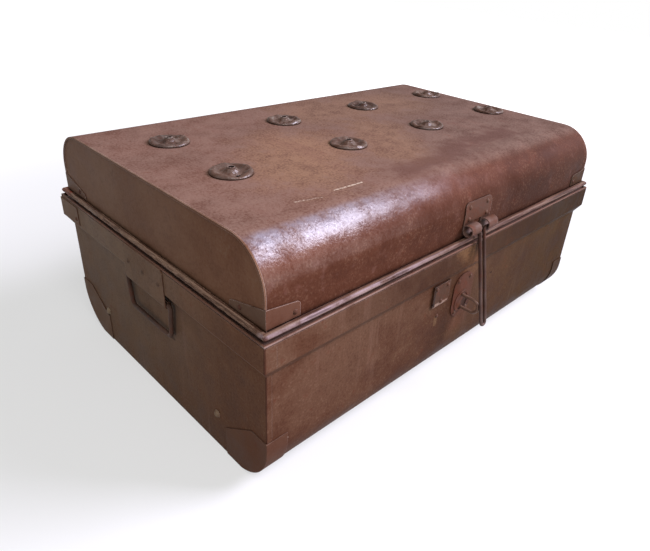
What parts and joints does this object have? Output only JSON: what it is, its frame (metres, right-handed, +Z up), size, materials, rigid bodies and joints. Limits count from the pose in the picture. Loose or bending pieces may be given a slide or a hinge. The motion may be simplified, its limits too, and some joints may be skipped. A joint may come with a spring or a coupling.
{
  "type": "dome top trunk",
  "caption": "Sheet steel storage trunk with a hinged, soft-edged lid, a hasp loop and staple for a padlock, pressed bosses on the lid and a drop handle at each end.",
  "frame": {"origin": "centre of the flat underside that the trunk stands on", "axes": "+X along the length towards the right end seen from the front, +Y towards the hinges at the back, +Z up"},
  "size_m": [0.767, 0.5611, 0.3463],
  "materials": {
    "box_paint": "worn semi-gloss enamel, dusty",
    "end_paint": "worn semi-gloss enamel, dusty",
    "lid_paint": "worn enamel under dust",
    "lid_end_paint": "worn enamel under dust",
    "boss_paint": "worn enamel over pressed steel",
    "guard_paint": "worn enamel, scuffed edges",
    "rusty_plate": "red-brown, rusted",
    "worn_edge": "paint rubbed off the rolled edge",
    "worn_strap": "rubbed steel",
    "bare_steel": "dull bare steel",
    "dark_steel": "dark oxidised rod",
    "hinge_steel": "dull steel",
    "inner_steel": "bare tinned sheet",
    "fastener_steel": "dull rivet heads"
  },
  "bodies": {
    "body": {"body_wrap": "box_paint", "body_end_left": "end_paint", "body_end_right": "end_paint", "neck_frame": "inner_steel", "rim_wire": "worn_edge", "corner_guard_front_left": "guard_paint", "corner_guard_front_right": "guard_paint", "corner_guard_rear_left": "guard_paint", "corner_guard_rear_right": "guard_paint", "band_corner_plate_left": "guard_paint", "band_corner_plate_right": "guard_paint", "handle_plate_left": "end_paint", "handle_plate_right": "end_paint", "hinge_strap_body_left": "hinge_steel", "hinge_strap_body_right": "hinge_steel", "hinge_pin_left": "hinge_steel", "hinge_pin_right": "hinge_steel", "staple_plate": "rusty_plate", "staple_eye": "dark_steel", "lock_plate": "end_paint", "end_panel_rivets": "fastener_steel", "handle_rivets": "fastener_steel", "hinge_rivets_body": "fastener_steel", "band_corner_rivets": "fastener_steel", "staple_rivets": "fastener_steel", "lock_rivets": "fastener_steel"},
    "lid": {"lid_skin": "lid_paint", "lid_end_left": "lid_end_paint", "lid_end_right": "lid_end_paint", "lid_bead": "worn_edge", "lid_corner_plate_front_left": "guard_paint", "lid_corner_plate_front_right": "guard_paint", "lid_corner_plate_rear_left": "guard_paint", "lid_corner_plate_rear_right": "guard_paint", "lid_corner_rivets": "fastener_steel", "lid_boss_front_1": "boss_paint", "lid_boss_front_2": "boss_paint", "lid_boss_front_3": "boss_paint", "lid_boss_front_4": "boss_paint", "lid_boss_rear_1": "boss_paint", "lid_boss_rear_2": "boss_paint", "lid_boss_rear_3": "boss_paint", "lid_boss_rear_4": "boss_paint", "boss_rivets": "fastener_steel", "hasp_plate": "bare_steel", "hasp_rivets": "fastener_steel", "hinge_strap_lid_left": "hinge_steel", "hinge_strap_lid_right": "hinge_steel", "hinge_rivets_lid": "fastener_steel"},
    "hasp": {"hasp_loop": "dark_steel"},
    "left_bail": {"bail_left": "worn_strap"},
    "right_bail": {"bail_right": "worn_strap"}
  },
  "joints": [
    {"name": "lid_hinge", "type": "hinge", "parent": "body", "child": "lid", "pos_m": [0, 0.26195, 0.2358], "axis": [-1, 0, 0], "range_deg": [0, 105]},
    {"name": "hasp_swing", "type": "hinge", "parent": "lid", "child": "hasp", "pos_m": [0.014, -0.25956, 0.25464], "axis": [-1, 0, 0], "range_deg": [0, 160]},
    {"name": "left_bail_swing", "type": "hinge", "parent": "body", "child": "left_bail", "pos_m": [-0.37695, 0, 0.18], "axis": [0, 1, 0], "range_deg": [0, 150]},
    {"name": "right_bail_swing", "type": "hinge", "parent": "body", "child": "right_bail", "pos_m": [0.37695, 0, 0.18], "axis": [0, -1, 0], "range_deg": [0, 150]}
  ]
}
